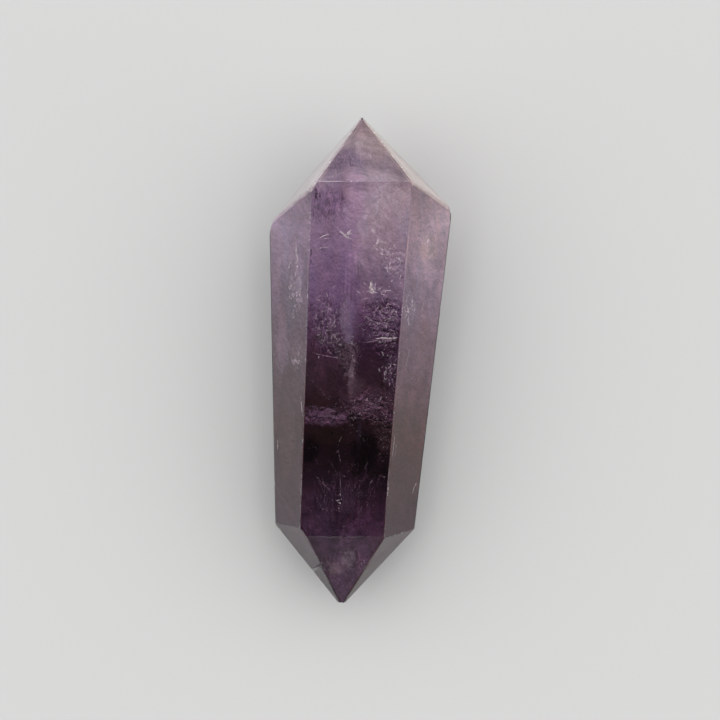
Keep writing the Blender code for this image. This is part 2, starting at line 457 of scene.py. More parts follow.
def finish_cloud(tree, shader, place, colour):
    """Gives a cloud its softly uneven, streaky colour, with painted light and shade on fine folds. Where it
    is thin, the stone behind shows.
    """
    soft = ramp(tree, noise(tree, place, 5.0, detail=4, distortion=0.5), ((0.3, 0.84), (0.7, 1.16)))
    streaks = noise(tree, place, 2.4, detail=5, roughness=0.6, distortion=0.3, stretch=(1.0, 0.3, 1.0))
    streaks = ramp(tree, streaks, ((0.32, (0.86, 0.9, 0.96)), (0.68, (1.12, 1.06, 1.04))))
    # Painted light and shade on fine folds.
    fine = painted_fold_light(tree, place, 1.8, (0.06, 0.18, 0.03), 2.6, detail=4, roughness=0.66, distortion=0.2)
    for layer in (soft, streaks, fine):
        colour = mix(tree, 1.0, colour, layer, "MULTIPLY")
    tree.links.new(colour, shader.inputs["Base Color"])
    shader.inputs["Roughness"].default_value = 0.6
    shader.inputs["Specular IOR Level"].default_value = 0.0
    patches = noise(tree, place, 3.0, detail=6, roughness=0.6, distortion=1.0)
    tree.links.new(ramp(tree, patches, ((0.3, 0.93), (0.6, 1.0))), shader.inputs["Alpha"])


def drifting(tree, place, size, reach_y, reach_x):
    """The height and the distance across, both shaken by noise so that the zones have ragged borders."""
    drift = calc(tree, "SUBTRACT", noise(tree, place, size, detail=7, roughness=0.62, distortion=0.5), 0.5)
    across = node(tree, "SeparateXYZ", {"Vector": place}).outputs["X"]
    height = height_of(tree, place, calc(tree, "MULTIPLY", drift, reach_y))
    return height, calc(tree, "ADD", across, calc(tree, "MULTIPLY", drift, reach_x))


def any_spot(tree, place, ovals):
    """The strength of the patch that a place is in, and 0 outside them all."""
    cover = 0.0
    for *oval, strength in ovals:
        inside = calc(tree, "MULTIPLY", spot(tree, place, *oval, ragged=RAGGED), strength)
        cover = calc(tree, "MAXIMUM", cover, inside)
    return cover


def marked(tree, place, colour, marks):
    """The colour with a ragged mark of its own tone at each row of marks."""
    for *oval, tone in marks:
        cover = calc(tree, "MULTIPLY", spot(tree, place, *oval, ragged=RAGGED), MARK_COVER)
        colour = mix(tree, cover, colour, tone)
    return colour


def inner_cloud(name):
    """Cloud that is darker to the left of the axis than to the right, with marks of its own. It is smoky or
    striated in some patches, and crumpled where the stone is crazed, with painted light and shade on its
    folds."""
    material, tree, shader = new_material(name)
    place = stone_place(tree)
    height, side = drifting(tree, place, 4.0, 5.0, 4.0)
    left, right = zone_ramp(tree, height, LEFT_ZONES), zone_ramp(tree, height, RIGHT_ZONES)
    colour = mix(tree, rise(tree, side, -0.4, 1.8), left, right)
    colour = marked(tree, place, colour, MARKS)
    flat = {"detail": 3, "roughness": 0.62, "distortion": 1.0, "stretch": (0.6, 1.0, 1.0)}
    tall = {"detail": 3, "roughness": 0.66, "distortion": 0.8, "stretch": (1.0, 0.6, 1.0)}
    # Painted light and shade on the wavy and the feathery folds.
    wavy = painted_fold_light(tree, place, 1.3, (0.05, 0.2, 0.0), 9.0, **flat)
    feathery = painted_fold_light(tree, place, 1.1, (0.16, 0.1, 0.0), 6.0, **tall)
    smoky = noise(tree, place, 3.0, detail=8, roughness=0.72, distortion=1.4, stretch=(1.0, 0.7, 1.0))
    lines = noise(tree, place, 0.45, detail=2, stretch=(1.0, 0.05, 0.3))
    layers = (
        (ramp(tree, smoky, SMOKE_TONES), any_spot(tree, place, SMOKY_PATCHES)),
        (ramp(tree, lines, ((0.35, 0.72), (0.65, 1.3))), spot(tree, place, *STRIATED, ragged=1.2)),
        (wavy, any_spot(tree, place, WAVY_FOLD_LIGHT_PATCHES)),
        (feathery, any_spot(tree, place, FEATHERY_FOLD_LIGHT_PATCHES)),
    )
    for layer, where in layers:
        colour = mix(tree, where, colour, mix(tree, 1.0, colour, layer, "MULTIPLY"))
    finish_cloud(tree, shader, place, colour)
    return material


def outer_cloud(name):
    """Cloud of the film that runs out to the sides: greyer to the left, warmer to the right."""
    material, tree, shader = new_material(name)
    place = stone_place(tree)
    height, side = drifting(tree, place, 5.0, 9.0, 4.0)
    left, right = zone_ramp(tree, height, LEFT_SIDE_ZONES), zone_ramp(tree, height, RIGHT_SIDE_ZONES)
    colour = marked(tree, place, mix(tree, rise(tree, side, -1.5, 1.5), left, right), SIDE_MARKS)
    finish_cloud(tree, shader, place, colour)
    return material


zoned, washed = inner_cloud("zoned_cloud"), outer_cloud("washed_cloud")
sector_film("sector_film_front", 35.0, 4.0, 1.7, zoned)
sector_film("sector_film_sides", 92.0, 0.0, 3.4, washed)
sector_film("sector_film_back", 146.0, -0.3, 3.4, zoned)

# Veils: cracks that healed while the crystal grew. Each is a crumpled skin of fine bubbles a few millimetres
# under a long face, brightest where a fold is seen on edge.
CELL = 0.11
FILM_SLOPE = 0.86
FILM_SHARE = 0.385
SIDE_FILM_SLOPE = 2.0
SIDE_FILM_HEIGHT = 0.3
FOIL_WAVES = 8
FLAKE_TONES = ((0.0, 0.35), (0.6, 0.8), (0.85, 1.1), (1.0, 1.6))
FLAKE_COVER = ((0.25, 0.12), (0.5, 0.5), (0.9, 1.0))


def surface_over(azimuth, u, v):
    """The distance from the axis plane to the surface, square to the long face that looks to azimuth, over
    the points u across that face and v along the crystal."""
    turn = math.radians(azimuth)
    out = np.array([math.sin(turn), 0.0, math.cos(turn)])
    across = np.array([math.cos(turn), 0.0, -math.sin(turn)])
    return reach(u[..., None] * across + v[..., None] * np.array([0.0, 1.0, 0.0]), out)


def turned_to(azimuth, u, v, w):
    """Points of the crystal's frame from u across a long face, v along the crystal and w out of that face."""
    turn = math.radians(azimuth)
    x = u * math.cos(turn) + w * math.sin(turn)
    z = w * math.cos(turn) - u * math.sin(turn)
    return np.stack([x, v, z], -1)


def above_films(azimuth, u, surface):
    """The least distance from the axis plane at which a point u across a long face clears the sector films.
    It grows with u to both sides, from a share of the surface's distance under the top and the resting face,
    and from a fixed distance under the others."""
    if azimuth in (0, 180):
        return np.abs(u) * FILM_SLOPE + surface * FILM_SHARE
    return np.abs(u) * SIDE_FILM_SLOPE + SIDE_FILM_HEIGHT


def crumpled(x, y, coarsest, finest, steepness, chance):
    """Heights of crumpled foil: waves with sharp crests, each shorter than the last, in a chance direction
    and bent by the ones before it. A wave is a constant less the size of a sine, and as high as it is long
    times its steepness."""
    height = np.zeros_like(x)
    bend = np.zeros_like(x)
    for length in np.geomspace(coarsest, finest, FOIL_WAVES):
        way, phase = chance.uniform(0, 2 * np.pi, 2)
        run = (x * np.cos(way) + y * np.sin(way)) * 2 * np.pi / length + phase + bend
        height += steepness * length * (0.6 - np.abs(np.sin(run / 2)))
        bend += 0.8 * np.sin(run + phase)
    return height


def veil(name, azimuth, middle, size, heading, down, dip, folds, seed, material):
    """A crumpled sheet about middle under the long face that looks to azimuth, size across and along, turned
    by heading, down below the surface and sloping by dip both ways."""
    chance = np.random.default_rng(seed)
    rows, columns = (int(length / CELL) for length in size)
    across = np.linspace(-0.5, 0.5, rows) * size[0]
    along = np.linspace(-0.5, 0.5, columns) * size[1]
    s, t = np.meshgrid(across, along, indexing="ij")
    turn = math.radians(heading)
    u = middle[0] + s * math.cos(turn) - t * math.sin(turn)
    v = middle[1] + s * math.sin(turn) + t * math.cos(turn)
    depth = down + s * dip[0] + t * dip[1] - crumpled(s, t, *folds, chance)
    surface = surface_over(azimuth, u, v)
    w = np.maximum(surface - np.maximum(depth, SKIN), above_films(azimuth, u, surface))
    points = turned_to(azimuth, u, v, w).reshape(-1, 3)
    grown_inside(name, points, grid_faces(rows, columns), grid_uv(rows, columns), material)


def shards(tree, place, size, stretch):
    """A chance brightness for each splinter of shattered stone: the cells of a Voronoi pattern whose place is
    shaken by noise."""
    shaken = node(tree, "TexNoise", {"Vector": place, "Scale": 0.9 / size, "Detail": 5.0, "Roughness": 0.65})
    off = node(tree, "VectorMath", {0: shaken.outputs["Color"], 1: (0.5, 0.5, 0.5)}, operation="SUBTRACT")
    far = node(tree, "VectorMath", {0: off.outputs[0], "Scale": 2.0 * size}, operation="SCALE").outputs[0]
    moved = node(tree, "VectorMath", {0: place, 1: far}, operation="ADD").outputs[0]
    scaled = node(tree, "VectorMath", {0: moved, 1: stretch}, operation="MULTIPLY").outputs[0]
    cells = node(tree, "TexVoronoi", {"Vector": scaled, "Scale": 1 / size}).outputs["Color"]
    return node(tree, "SeparateColor", {"Color": cells}).outputs["Red"]


def veil_skin(name, colour, cover, hole_size, ragged=0.5, stretch=(1.0, 1.0, 1.0), splinter=0.0):
    """A skin of fine bubbles: matt and pale, with holes, frayed towards its rim. cover is how solid it is,
    and splinter is the size of its shattered flakes, or 0 where it is whole."""
    material, tree, shader = new_material(name)
    place = stone_place(tree)
    tone = ramp(tree, noise(tree, place, 0.8, detail=6, roughness=0.75), ((0.38, 0.55), (0.62, 1.35)))
    if splinter:
        flake = shards(tree, place, splinter, stretch)
        tone = mix(tree, 1.0, tone, ramp(tree, flake, FLAKE_TONES), "MULTIPLY")
    tree.links.new(mix(tree, 1.0, colour, tone, "MULTIPLY"), shader.inputs["Base Color"])
    shader.inputs["Roughness"].default_value = 0.5
    shader.inputs["Specular IOR Level"].default_value = 0.2
    place_in_sheet = node(tree, "UVMap", uv_map="grid").outputs["UV"]
    off = node(tree, "VectorMath", {0: place_in_sheet, 1: (0.5, 0.5, 0.0)}, operation="SUBTRACT").outputs[0]
    far = node(tree, "VectorMath", {0: off}, operation="LENGTH").outputs["Value"]
    frayed = calc(tree, "MULTIPLY", noise(tree, place, 1.4, detail=6, roughness=0.7), ragged)
    rim = rise(tree, calc(tree, "ADD", far, frayed), 0.5 + ragged / 2, 0.25 + ragged / 2)
    holes = noise(tree, place, hole_size, detail=6, roughness=0.72, distortion=0.2, stretch=stretch)
    holes = ramp(tree, holes, ((0.42, 0.0), (0.5, 0.45), (0.6, 1.0)))
    if splinter:
        holes = mix(tree, 1.0, holes, ramp(tree, flake, FLAKE_COVER), "MULTIPLY")
    tree.links.new(calc(tree, "MULTIPLY", calc(tree, "MULTIPLY", rim, holes), cover), shader.inputs["Alpha"])
    return material


FLAT_SHARDS = (0.35, 1.0, 0.8)
TALL_SHARDS = (1.0, 0.5, 0.8)
flat_foil = veil_skin("veil_flat_foil", (0.52, 0.37, 0.5), 0.7, 0.9, stretch=FLAT_SHARDS, splinter=0.3)
tall_foil = veil_skin("veil_tall_foil", (0.5, 0.36, 0.48), 0.45, 0.8, stretch=TALL_SHARDS, splinter=0.26)
swirl = veil_skin("veil_swirl", (0.62, 0.5, 0.6), 0.6, 0.8, ragged=0.8, stretch=(0.5, 1.0, 1.0))
faint = veil_skin("veil_faint_foil", (0.8, 0.68, 0.76), 0.8, 1.2, splinter=0.3)
haze = veil_skin("veil_haze", (0.5, 0.42, 0.53), 0.3, 2.2, ragged=0.9, stretch=(1.0, 0.4, 1.0))
warm_haze = veil_skin("veil_warm_haze", (0.86, 0.76, 0.78), 0.32, 2.4, ragged=0.7, stretch=(0.7, 0.5, 1.0))
plum = veil_skin(
    "veil_plum", (0.34, 0.2, 0.31), 0.65, 1.2, ragged=0.6, stretch=(0.4, 1.0, 1.0), splinter=0.25
)
plum_haze = veil_skin("veil_plum_haze", (0.18, 0.1, 0.18), 0.28, 2.0, ragged=0.8, stretch=(1.0, 0.3, 1.0))
smoke = veil_skin("veil_smoke", (0.26, 0.21, 0.24), 0.6, 1.2, ragged=0.6, splinter=0.2)
shadow = veil_skin("veil_shadow", (0.16, 0.09, 0.18), 0.4, 1.2, ragged=0.8, stretch=(1.0, 0.4, 1.0))

# A row is a veil's name, the way its long face looks, its middle and its size across and along, its heading,
# its depth and its slope both ways, its folds (longest, shortest, steepness), its seed and its skin.
veils = (
    ("right_foil", 0, (5.0, 6.4), (9.0, 8.0), 8, 2.4, (0.05, -0.1), (2.6, 0.35, 0.16), 11, flat_foil),
    ("right_foil_low", 0, (5.2, 3.6), (6.5, 3.6), -6, 3.4, (0.1, 0.1), (2.2, 0.35, 0.16), 12, flat_foil),
    ("left_foil", 0, (-4.8, 5.8), (6.0, 8.0), 20, 2.6, (-0.1, 0.1), (2.4, 0.35, 0.15), 13, tall_foil),
    ("left_foil_low", 0, (-2.8, 2.6), (7.0, 5.0), -25, 3.4, (0.1, -0.1), (2.2, 0.35, 0.12), 14, smoke),
    ("swirl_foil", 0, (5.6, 16.4), (4.4, 5.6), 25, 1.8, (0.1, 0.1), (2.0, 0.3, 0.15), 15, swirl),
    ("upper_haze", 0, (3.6, 22.0), (9.0, 18.0), -12, 3.4, (0.1, 0.05), (5.0, 1.0, 0.06), 29, warm_haze),
    ("tip_haze", 0, (1.4, 34.6), (7.0, 6.0), 14, 2.2, (0.1, 0.05), (4.0, 0.8, 0.06), 30, warm_haze),
    ("upper_shadow", 0, (-4.2, 24.6), (6.5, 7.0), 4, 1.5, (0.0, 0.05), (2.4, 0.5, 0.08), 31, shadow),
    ("middle_haze", 0, (-0.9, 6.6), (3.2, 11.0), 2, 3.0, (0.0, 0.05), (4.0, 1.2, 0.05), 16, haze),
    ("middle_smoke", 0, (-0.1, 0.2), (3.4, 9.0), -6, 3.6, (0.1, 0.0), (3.0, 0.5, 0.12), 17, smoke),
    ("band_left", 0, (-4.0, -9.1), (8.4, 3.6), -2, 2.6, (0.1, 0.25), (2.6, 0.4, 0.13), 18, plum),
    ("band_right", 0, (2.6, -7.4), (6.6, 4.6), 28, 3.2, (-0.1, 0.2), (2.2, 0.4, 0.14), 19, plum),
    ("foot_haze", 0, (-0.6, -25.0), (10.0, 14.0), 0, 4.0, (0.0, 0.1), (4.0, 0.8, 0.06), 20, plum_haze),
    ("left_face_veil", -62, (0.5, 12.0), (6.5, 15.0), 6, 1.8, (0.1, 0.05), (3.0, 0.4, 0.1), 21, faint),
    ("left_face_low_veil", -62, (1.5, 0.5), (5.0, 6.0), -10, 1.6, (0.1, 0.05), (2.4, 0.4, 0.1), 22, faint),
    ("right_face_veil", 62, (-2.6, 8.8), (5.6, 8.0), 4, 1.8, (0.1, 0.05), (2.6, 0.4, 0.11), 23, faint),
    ("right_face_high_veil", 62, (1.0, 19.5), (5.0, 5.0), 30, 1.6, (0.1, 0.05), (2.4, 0.4, 0.1), 24, faint),
    ("lower_left_veil", -121, (0.0, 9.0), (8.0, 10.0), 12, 2.2, (0.1, 0.05), (2.8, 0.4, 0.12), 25, tall_foil),
    ("lower_right_veil", 121, (0.5, 4.0), (8.0, 9.0), -12, 2.2, (0.1, 0.05), (2.8, 0.4, 0.12), 26, flat_foil),
    ("back_veil", 180, (1.0, 8.0), (10.0, 9.0), 6, 2.4, (0.05, 0.1), (2.8, 0.4, 0.14), 27, flat_foil),
    ("back_band", 180, (0.0, -9.0), (12.0, 3.6), 4, 2.6, (0.1, 0.2), (2.6, 0.4, 0.12), 28, plum),
)
for veil_row in veils:
    veil(*veil_row)

# Milky skins: the wide point is clouded just under its two side facets, which look cream. The cream is partly
# this cloud and partly painted reflection, for the skins stand in for the pale surroundings that these facets
# mirror at a grazing angle. Under each of them the cloud is three thin skins of milky quartz, one below the
# other.
TOWARD_LEFT_FACET = (-0.77, 0.62, 0.15)
TOWARD_RIGHT_FACET = (0.67, 0.72, 0.17)
PARALLEL = 0.99
MILK_AND_REFLECTION_CELL = 0.25
MILK_AND_REFLECTION_DEPTHS = (0.35, 0.5, 0.65)
MILK_AND_REFLECTION_RIM = 2.4


def milky_reflection_sheet(name, toward, depth, material):
    """A flat sheet parallel to the facet that faces most nearly toward a direction, and so deep below it. Its
    UV map holds the distance to the nearest other facet, as a share of the rim over which the cloud thins."""
    out = FACETS[np.argmax(FACETS[:, :3] @ np.array(toward))]
    across = np.cross(out[:3], [0.0, 1.0, 0.0])
    across /= np.linalg.norm(across)
    along = np.cross(across, out[:3])
    count = int(2 * HALF_LENGTH / MILK_AND_REFLECTION_CELL)
    s, t = np.meshgrid(*[np.linspace(-HALF_LENGTH, HALF_LENGTH, count)] * 2, indexing="ij")
    points = out[:3] * (out[3] - depth) + s.reshape(-1, 1) * across + t.reshape(-1, 1) * along
    others = FACETS[FACETS[:, :3] @ out[:3] < PARALLEL]
    room = (others[:, 3] - points @ others[:, :3].T).min(axis=1)
    uv = np.stack([np.clip(room / MILK_AND_REFLECTION_RIM, 0.0, 1.0), 0 * room], 1)
    grown_inside(name, points, grid_faces(count, count), uv, material)


def milk_and_reflection(name, dull, bright):
    """Milky quartz and painted reflection: a cloud of fine bubbles, dull where it is thin and bright where it
    is dense, with painted light and shade on its folds.
    """
    material, tree, shader = new_material(name)
    place = stone_place(tree)
    tone = ramp(tree, noise(tree, place, 3.0, detail=5, roughness=0.6), ((0.35, dull), (0.65, bright)))
    # Painted light and shade on the cloud's folds.
    folds = painted_fold_light(tree, place, 1.6, (0.1, 0.14, 0.05), 0.8, detail=5, roughness=0.68, distortion=0.8)
    tree.links.new(mix(tree, 1.0, tone, folds, "MULTIPLY"), shader.inputs["Base Color"])
    shader.inputs["Roughness"].default_value = 0.5
    shader.inputs["Specular IOR Level"].default_value = 0.0
    cloud = noise(tree, place, 5.0, detail=9, roughness=0.62, distortion=0.6, stretch=(1.0, 0.6, 1.0))
    cloud = ramp(tree, cloud, ((0.36, 0.42), (0.62, 0.82)))
    room = node(tree, "UVMap", uv_map="grid").outputs["UV"]
    thinned = ramp(tree, node(tree, "SeparateXYZ", {"Vector": room}).outputs["X"], ((0.1, 0.35), (1.0, 1.0)))
    tree.links.new(calc(tree, "MULTIPLY", cloud, thinned), shader.inputs["Alpha"])
    return material


# Pale skins, partly milky cloud and partly a painted reflection of the pale surroundings.
cool_milk_and_reflection = milk_and_reflection("cool_milk_and_reflection", (0.93, 0.83, 0.87), (1.0, 0.94, 0.93))
warm_milk_and_reflection = milk_and_reflection("warm_milk_and_reflection", (0.95, 0.82, 0.78), (1.0, 0.9, 0.82))
for layer, depth in enumerate(MILK_AND_REFLECTION_DEPTHS, 1):
    milky_reflection_sheet(f"milky_reflection_skin_left_{layer}", TOWARD_LEFT_FACET, depth, cool_milk_and_reflection)
    milky_reflection_sheet(f"milky_reflection_skin_right_{layer}", TOWARD_RIGHT_FACET, depth, warm_milk_and_reflection)

# Wisps: torn threads at the edges of the healed cracks, fibres that fan out from the narrow point, fine
# needles and dark splinters. Each is a narrow tapered band, at most about half a millimetre wide.
STEPS = 11
LEAST_HALF_WIDTH = 0.004
ROLL = 1.1


def bands(azimuth, paths, widths, chance):
    """Tapered bands along paths of u, v and depth: the width swells and shrinks as a half sine, and each
    band is turned about its path by a chance angle."""
    u, v, down = paths[..., 0], paths[..., 1], paths[..., 2]
    surface = surface_over(azimuth, u, v)
    w = np.maximum(surface - down, above_films(azimuth, u, surface))
    middle = np.stack([u, v, w], -1)
    tangent = np.gradient(middle, axis=1)
    flat = np.stack([-tangent[..., 1], tangent[..., 0], 0 * u], -1)
    flat /= np.linalg.norm(flat, axis=-1, keepdims=True) + 1e-9
    roll = chance.uniform(-ROLL, ROLL, len(paths))[:, None, None]
    sideways = flat * np.cos(roll) + np.array([0.0, 0.0, 1.0]) * np.sin(roll)
    swell = 0.5 * np.asarray(widths)[:, None] * np.sin(np.pi * np.linspace(0, 1, STEPS)) + LEAST_HALF_WIDTH
    offset = sideways * swell[..., None]
    points = np.stack([middle - offset, middle, middle + offset], 2)
    return turned_to(azimuth, points[..., 0], points[..., 1], points[..., 2]).reshape(-1, STEPS * 3, 3)


def swarm(seed, count, middle, spread, length, width, heading, scatter, turn, down):
    """Threads strewn about middle under the top face. Each heads the given way, give or take scatter, and
    bends by up to turn and by a slight wave. Its length and width are chance shares of the given ones."""
    chance = np.random.default_rng(seed)
    places = np.array(middle) + np.array(spread) * chance.normal(0, 0.5, (count, 2))
    long = length * chance.uniform(0.3, 1.7, count)[:, None]
    step = np.linspace(-0.5, 0.5, STEPS)[None]
    way = np.radians(heading + scatter * chance.normal(0, 1, count))[:, None]
    angle = way + np.radians(turn) * chance.uniform(-1, 1, count)[:, None] * step
    angle = angle + 0.35 * np.sin(9 * step + 6 * chance.uniform(-1, 1, count)[:, None])
    hop = long / (STEPS - 1)
    u = places[:, :1] + np.cumsum(np.cos(angle), 1) * hop
    v = places[:, 1:] + np.cumsum(np.sin(angle), 1) * hop
    deep = chance.uniform(*down, count)[:, None] + chance.normal(0, 0.3, count)[:, None] * step * long
    return bands(0, np.stack([u, v, deep], -1), width * chance.uniform(0.4, 1.6, count), chance)


def arcs(seed, count, middle, radii, sweep, width, down):
    """Threads that curl round middle under the top face: arcs of chance radius and start, each as long as the
    sweep in degrees, that swing in and out by a sine."""
    chance = np.random.default_rng(seed)
    radius = chance.uniform(*radii, count)[:, None]
    angle = chance.uniform(0, 2 * np.pi, count)[:, None] + np.radians(sweep) * np.linspace(0, 1, STEPS)[None]
    radius = radius * (1 + 0.25 * np.sin(angle * 2 + radius * 9))
    u = middle[0] + radius * np.cos(angle)
    v = middle[1] + radius * np.sin(angle) * 1.2
    deep = chance.uniform(*down, count)[:, None] + 0 * angle
    return bands(0, np.stack([u, v, deep], -1), width * chance.uniform(0.5, 1.5, count), chance)


def strokes(seed, table, azimuth=0):
    """Threads placed one by one: each is a parabola from a first point past a middle one to a last, with a
    depth and a width."""
    rows = np.array(table)
    t = np.linspace(0, 1, STEPS)[None, :, None]
    first, middle, last = (rows[:, None, corner:corner + 2] for corner in (0, 2, 4))
    curve = (1 - t) ** 2 * first + 2 * t * (1 - t) * middle + t**2 * last
    deep = np.broadcast_to(rows[:, None, 6:7], (*curve.shape[:2], 1))
    return bands(azimuth, np.concatenate([curve, deep], -1), rows[:, 7], np.random.default_rng(seed))


def threads(name, groups, material):
    """One piece of all the bands in several groups."""
    points = np.concatenate(groups)
    faces = grid_faces(STEPS, 3)[None] + (np.arange(len(points)) * STEPS * 3)[:, None, None]
    uv = np.tile(grid_uv(STEPS, 3), (len(points), 1))
    grown_inside(name, points.reshape(-1, 3), faces.reshape(-1, 4), uv, material)


def thread_skin(name, colour, cover):
    """The skin of a thread: solid in beads, thin between them."""
    material, tree, shader = new_material(name)
    place = stone_place(tree)
    shader.inputs["Base Color"].default_value = (*colour, 1.0)
    shader.inputs["Roughness"].default_value = 0.5
    beads = ramp(tree, noise(tree, place, 0.35, detail=3, roughness=0.6), ((0.4, 0.25), (0.58, 1.0)))
    tree.links.new(calc(tree, "MULTIPLY", beads, cover), shader.inputs["Alpha"])
    return material


pale_thread = thread_skin("pale_thread", (0.92, 0.8, 0.86), 0.75)
crazing = (
    swarm(1, 50, (5.2, 6.4), (4.4, 4.0), 0.8, 0.11, 5, 35, 120, (0.6, 3.0)),
    swarm(2, 60, (-4.6, 5.6), (3.4, 4.6), 0.6, 0.09, 62, 30, 60, (0.6, 3.0)),
    swarm(3, 24, (-2.6, 2.8), (2.6, 1.8), 0.4, 0.08, 40, 50, 90, (0.6, 3.0)),
    swarm(4, 44, (6.2, -1.8), (1.8, 5.0), 0.6, 0.09, 85, 35, 60, (0.4, 1.2)),
    swarm(17, 40, (9.6, 8.4), (2.6, 5.0), 0.7, 0.1, 60, 50, 90, (0.4, 1.2)),
    swarm(18, 36, (3.6, 11.3), (2.6, 1.0), 0.5, 0.12, 60, 60, 60, (0.4, 1.6)),
    swarm(5, 30, (4.6, 18.4), (2.2, 1.4), 0.8, 0.16, -20, 45, 90, (0.6, 2.4)),
    arcs(6, 12, (6.3, 15.8), (0.35, 1.5), 80, 0.13, (0.4, 1.2)),
)
threads("crazing_threads", crazing, pale_thread)

bright_thread = thread_skin("bright_thread", (1.0, 0.94, 0.92), 0.95)
placed = (
    (-3.2, 21.2, -2.6, 20.0, -1.0, 19.9, 0.8, 0.12),
    (-2.9, 20.4, -1.9, 19.9, -0.4, 19.2, 0.7, 0.34),
    (-1.9, 19.8, -1.3, 20.3, -0.9, 20.9, 0.7, 0.26),
    (-1.6, 19.9, -1.2, 20.2, -0.5, 20.2, 0.7, 0.2),
    (-2.4, 20.1, -1.6, 19.5, -0.9, 19.3, 0.9, 0.24),
    (-6.0, 19.2, -5.2, 19.8, -4.3, 20.0, 0.9, 0.1),
    (-5.6, 19.0, -4.9, 19.4, -4.2, 19.3, 1.1, 0.07),
    (-6.6, 17.2, -5.6, 18.0, -4.2, 17.9, 1.3, 0.06),
    (3.7, 3.5, 4.8, 3.9, 5.9, 3.7, 0.8, 0.28),
    (4.6, 3.7, 6.0, 3.6, 7.3, 3.9, 0.5, 0.22),
    (2.0, 11.0, 2.8, 11.1, 3.8, 10.9, 0.6, 0.16),
    (4.8, 11.2, 5.4, 11.5, 6.2, 11.3, 0.6, 0.1),
    (7.2, 14.6, 8.0, 15.0, 8.4, 15.6, 0.7, 0.24),
)
right_glints = (
    (4.2, -21.6, 4.6, -20.5, 5.0, -19.6, 0.9, 0.5),
    (-3.1, -1.4, -2.8, 0.4, -2.2, 2.2, 0.6, 0.1),
    (-3.6, -15.4, -3.4, -14.2, -3.5, -13.0, 0.6, 0.14),
    (-4.6, -15.6, -4.4, -13.4, -4.5, -11.6, 0.4, 0.09),
    (0.8, 7.6, 1.2, 9.4, 1.0, 11.0, 0.9, 0.08),
    (2.6, 18.0, 1.6, 17.0, 0.4, 16.6, 0.7, 0.14),
)
left_glints = (
    (1.2, 19.0, 2.2, 17.0, 2.6, 14.6, 0.8, 0.12),
    (3.4, 13.0, 3.8, 11.6, 3.6, 10.0, 0.6, 0.12),
    (4.0, -6.0, 4.6, -7.6, 5.0, -9.6, 0.4, 0.14),
    (-4.8, -15.4, -4.8, -14.6, -4.8, -13.6, 0.5, 0.18),
)
bright_groups = (
    strokes(8, placed),
    strokes(21, right_glints, 62),
    strokes(22, left_glints, -62),
    swarm(23, 22, (2.7, 11.5), (0.6, 0.6), 0.5, 0.22, 70, 50, 40, (0.5, 1.0)),
)
threads("bright_threads", bright_groups, bright_thread)

plum_thread = thread_skin("plum_thread", (0.3, 0.18, 0.28), 0.6)
fibres = (
    swarm(9, 40, (-4.2, -9.0), (3.4, 1.1), 1.6, 0.12, 0, 12, 60, (0.6, 3.5)),
    swarm(10, 30, (2.8, -7.4), (3.2, 2.2), 1.1, 0.12, 35, 35, 100, (0.6, 3.5)),
    swarm(11, 70, (2.6, -22.0), (3.6, 6.0), 1.6, 0.05, 72, 12, 14, (0.6, 3.0)),
    swarm(12, 60, (-3.0, -23.0), (3.2, 5.0), 1.6, 0.05, 106, 12, 14, (0.6, 3.0)),
    swarm(14, 30, (0.0, -33.0), (3.0, 3.0), 1.0, 0.06, 90, 40, 60, (0.6, 3.0)),
)
threads("plum_threads", fibres, plum_thread)

faint_thread = thread_skin("faint_thread", (0.62, 0.45, 0.56), 0.55)
needles = (
    (1.6, 2.9, 3.0, 3.0, 4.4, 3.4, 1.2, 0.14),
    (-6.4, 0.9, -4.0, 0.3, -0.6, 0.2, 1.0, 0.12),
    (3.8, 7.2, 5.4, 5.2, 7.6, 6.6, 0.6, 0.18),
    (1.0, 9.0, 1.4, 10.2, 3.0, 10.0, 1.1, 0.26),
    (5.0, 8.8, 6.4, 9.8, 7.6, 8.6, 0.6, 0.18),
    (-5.4, -18.6, -3.6, -20.4, -1.4, -22.0, 1.4, 0.12),
    (-5.0, -19.0, -3.9, -19.7, -3.0, -20.4, 1.2, 0.14),
    (-1.0, -18.4, -0.5, -18.8, 0.2, -19.0, 1.2, 0.16),
    (-1.6, -14.0, -1.4, -13.0, -1.0, -12.2, 1.0, 0.16),
    (-1.6, -14.0, -1.5, -15.6, -0.8, -17.0, 1.4, 0.1),
    (5.6, -18.5, 6.0, -18.6, 6.5, -18.5, 0.6, 0.12),
    (-1.2, -18.0, -0.9, -20.0, -0.9, -22.0, 1.2, 0.08),
)
leaves = (
    strokes(16, needles),
    swarm(24, 80, (5.0, 8.4), (4.6, 2.8), 0.9, 0.13, 15, 55, 120, (0.6, 2.0)),
    swarm(25, 40, (4.8, 16.4), (3.6, 4.4), 0.9, 0.1, -28, 45, 100, (0.6, 2.0)),
    swarm(26, 60, (-4.4, 7.4), (4.4, 3.6), 0.7, 0.1, 70, 40, 80, (0.6, 2.4)),
    swarm(27, 40, (2.6, -7.6), (4.4, 2.4), 0.8, 0.09, 25, 55, 100, (0.6, 2.4)),
)
threads("faint_threads", leaves, faint_thread)

